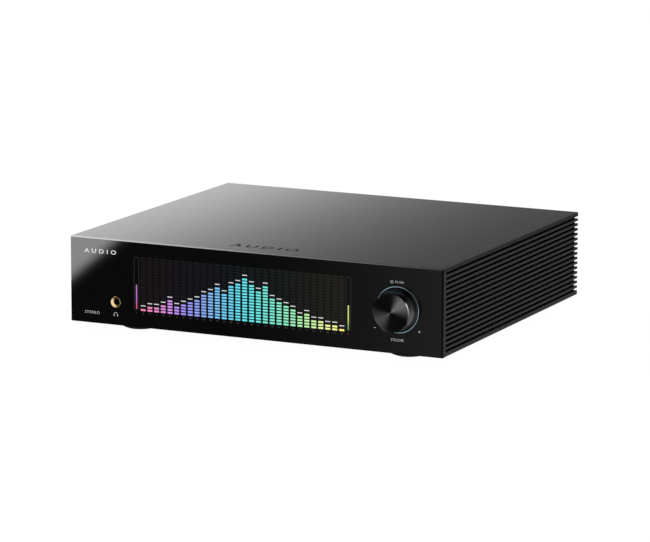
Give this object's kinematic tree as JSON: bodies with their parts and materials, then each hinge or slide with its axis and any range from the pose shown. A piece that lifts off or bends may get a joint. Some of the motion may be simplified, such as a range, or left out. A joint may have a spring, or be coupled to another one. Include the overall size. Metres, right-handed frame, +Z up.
{
  "type": "digital-to-analogue converter",
  "caption": "Full-width hi-fi DAC with a black glass front, wide bar display, lit volume knob, headphone socket, finned sides and rear audio sockets.",
  "frame": {"origin": "centre of the whole box in plan, on the surface that the feet stand on", "axes": "+X to the right seen from the front, +Y from the front glass to the rear sockets, +Z up"},
  "size_m": [0.43, 0.389, 0.1018],
  "materials": {
    "glass_black": "gloss black back-printed glass, clear over the display",
    "anodised_black": "satin black anodised aluminium",
    "cover_black": "satin black anodised aluminium, finely bead blasted",
    "knob_black": "gloss black anodised, spun face",
    "ring_light": "translucent light guide",
    "screen": "LCD cell",
    "backlight": "white light guide",
    "sheet_steel": "zinc-plated sheet",
    "chassis_black": "black powder coat",
    "board_green": "solder-masked glass-fibre board",
    "plastic_black": "moulded black plastic",
    "plastic_gloss": "gloss black plastic",
    "led_white": "LED lamp",
    "zinc": "die-cast, satin nickel",
    "gold": "gold plated",
    "rubber": "matte",
    "screw_black": "black zinc",
    "winding_tape": "polyester tape over the winding",
    "capacitor_sleeve": "heat-shrunk sleeve",
    "sink_black": "black anodised extrusion",
    "relay_case": "moulded case",
    "lead_sleeve": "PVC insulation",
    "ribbon": "ribbon cable"
  },
  "bodies": {
    "chassis": {"front_glass": "glass_black", "front_frame": "anodised_black", "display_lcd": "screen", "display_backlight": "backlight", "display_bracket": "sheet_steel", "knob_base": "knob_black", "light_ring": "ring_light", "ring_board": "board_green", "ring_leds": "led_white", "encoder_plate": "sheet_steel", "encoder_body": "zinc", "encoder_nut": "zinc", "push_switch": "plastic_black", "encoder_board": "board_green", "jack_ring": "gold", "jack_bush": "gold", "jack_body": "plastic_black", "headphone_board": "board_green", "side_panel_right": "anodised_black", "side_panel_left": "anodised_black", "top_cover": "cover_black", "bottom_plate": "chassis_black", "rear_panel": "chassis_black", "feet": "anodised_black", "foot_pads": "rubber", "foot_bolts": "screw_black", "chassis_screws": "screw_black", "iec_inlet": "plastic_black", "inlet_pins": "zinc", "switch_frame": "plastic_black", "xlr_output_left": "zinc", "xlr_output_right": "zinc", "xlr_output_pins": "gold", "aes_input": "zinc", "aes_insert": "plastic_black", "phono_sockets": "gold", "optical_input": "plastic_black", "usb_socket": "zinc", "hdmi_socket": "zinc", "psu_board": "board_green", "main_board": "board_green", "dac_board": "board_green", "board_standoffs": "gold", "psu_capacitors": "capacitor_sleeve", "processor_heatsink": "sink_black", "volume_relays": "relay_case", "transformer_main": "winding_tape", "transformer_analogue": "winding_tape", "transformer_clamps": "sheet_steel", "transformer_bolts": "sheet_steel", "bay_divider": "sheet_steel", "mains_leads": "lead_sleeve", "front_ribbon": "ribbon"},
    "plunger": {"encoder_plunger": "plastic_black"},
    "knob": {"volume_knob": "knob_black", "encoder_shaft": "zinc", "knob_grub_screw": "screw_black"},
    "rocker": {"power_rocker": "plastic_gloss"},
    "shutter": {"optical_shutter": "plastic_black"},
    "latch": {"aes_latch": "plastic_black"}
  },
  "joints": [
    {"name": "knob_push", "type": "slide", "parent": "chassis", "child": "plunger", "axis": [0, 1, 0], "range_m": [0, 0.0006], "stiffness_N_per_m": 5000},
    {"name": "knob_spin", "type": "hinge", "parent": "plunger", "child": "knob", "pos_m": [0.1646, -0.17805, 0.0559], "axis": [0, 1, 0], "continuous": true},
    {"name": "rocker_tilt", "type": "hinge", "parent": "chassis", "child": "rocker", "pos_m": [-0.128, 0.18155, 0.044], "axis": [1, 0, 0], "range_deg": [0, 24]},
    {"name": "shutter_swing", "type": "hinge", "parent": "chassis", "child": "shutter", "pos_m": [-0.018, 0.18425, 0.036], "axis": [-1, 0, 0], "range_deg": [0, 80], "stiffness_Nm_per_rad": 0.0005},
    {"name": "latch_press", "type": "slide", "parent": "chassis", "child": "latch", "axis": [0, -1, 0], "range_m": [0, 0.002], "stiffness_N_per_m": 800}
  ]
}
